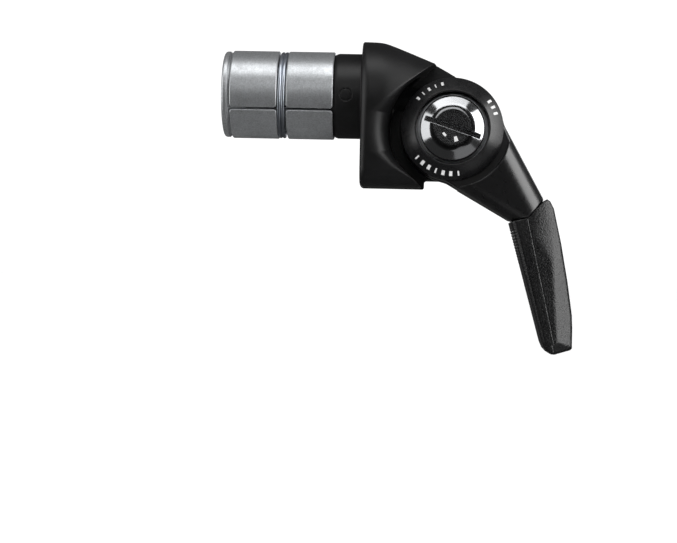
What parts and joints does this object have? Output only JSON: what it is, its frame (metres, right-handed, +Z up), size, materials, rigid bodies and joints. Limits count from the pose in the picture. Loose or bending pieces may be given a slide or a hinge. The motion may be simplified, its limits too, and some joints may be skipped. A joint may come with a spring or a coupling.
{
  "type": "bar-end thumb shifter",
  "caption": "Indexed bar-end gear lever: expander plug for the handlebar end, pod with pivot arm, swinging lever with drum and grip.",
  "frame": {"origin": "on the bar axis, at the centre of the shoulder face that butts on the handlebar's end", "axes": "+X along the bar axis away from the handlebar, +Z up, -Y the lever side; the lever pivot runs along Y"},
  "size_m": [0.0806, 0.025, 0.0705],
  "materials": {
    "pod_black": "satin black fine-grained coating",
    "lever_black": "gloss black anodised forging",
    "ring_black": "black anodised, fine turned",
    "polished_bolt": "polished with turned rings",
    "turned_aluminium": "turned satin",
    "tumbled_aluminium": "tumbled satin",
    "spring_wire": "zinc plated wire",
    "steel": "plain ground steel",
    "bush_brass": "sintered bronze",
    "grip_resin": "fine-textured black resin"
  },
  "bodies": {
    "pod": {"pod_body": "pod_black", "lever_boss": "steel", "boss_cap": "turned_aluminium", "base_washer": "steel", "stop_pin": "steel", "ball_retainer": "steel", "detent_balls": "steel", "spring_washers": "steel", "key_washer": "steel", "fixing_bolt": "polished_bolt", "bolt_washer": "steel"},
    "lever": {"lever_arm": "lever_black", "lever_grip": "grip_resin", "boss_bush": "bush_brass", "detent_plate": "steel", "plate_clip": "steel", "cover_ring": "ring_black"},
    "bolt": {"expander_bolt": "steel"},
    "wedge": {"wedge_plug": "tumbled_aluminium"},
    "segment_1": {"expander_segment_1": "tumbled_aluminium"},
    "segment_2": {"expander_segment_2": "tumbled_aluminium"},
    "segment_3": {"expander_segment_3": "tumbled_aluminium"},
    "spring": {"expander_spring": "spring_wire"}
  },
  "joints": [
    {"name": "lever_swing", "type": "hinge", "parent": "pod", "child": "lever", "pos_m": [0.0206, 0, -0.0077], "axis": [0, -1, 0], "range_deg": [0, 90]},
    {"name": "expander_bolt_turn", "type": "hinge", "parent": "pod", "child": "bolt", "pos_m": [0, 0, 0], "axis": [1, 0, 0], "range_deg": [0, 1080]},
    {"name": "wedge_slide", "type": "slide", "parent": "pod", "child": "wedge", "axis": [1, 0, 0], "range_m": [0, 0.003]},
    {"name": "segment_1_slide", "type": "slide", "parent": "pod", "child": "segment_1", "axis": [0.9063, -0.0405, -0.4207], "range_m": [0, 0.00166]},
    {"name": "segment_2_slide", "type": "slide", "parent": "pod", "child": "segment_2", "axis": [0.9063, 0.3846, 0.1753], "range_m": [0, 0.00166]},
    {"name": "segment_3_slide", "type": "slide", "parent": "pod", "child": "segment_3", "axis": [0.9063, -0.3441, 0.2454], "range_m": [0, 0.00166]},
    {"name": "spring_slide", "type": "slide", "parent": "pod", "child": "spring", "axis": [1, 0, 0], "range_m": [0, 0.0015]}
  ],
  "couplings": [
    {"joint": "expander_bolt_turn", "follows": "wedge_slide", "rad_per_m": 6283.2},
    {"joint": "segment_1_slide", "follows": "wedge_slide", "ratio": 0.55169},
    {"joint": "segment_2_slide", "follows": "wedge_slide", "ratio": 0.55169},
    {"joint": "segment_3_slide", "follows": "wedge_slide", "ratio": 0.55169},
    {"joint": "spring_slide", "follows": "wedge_slide", "ratio": 0.5}
  ]
}
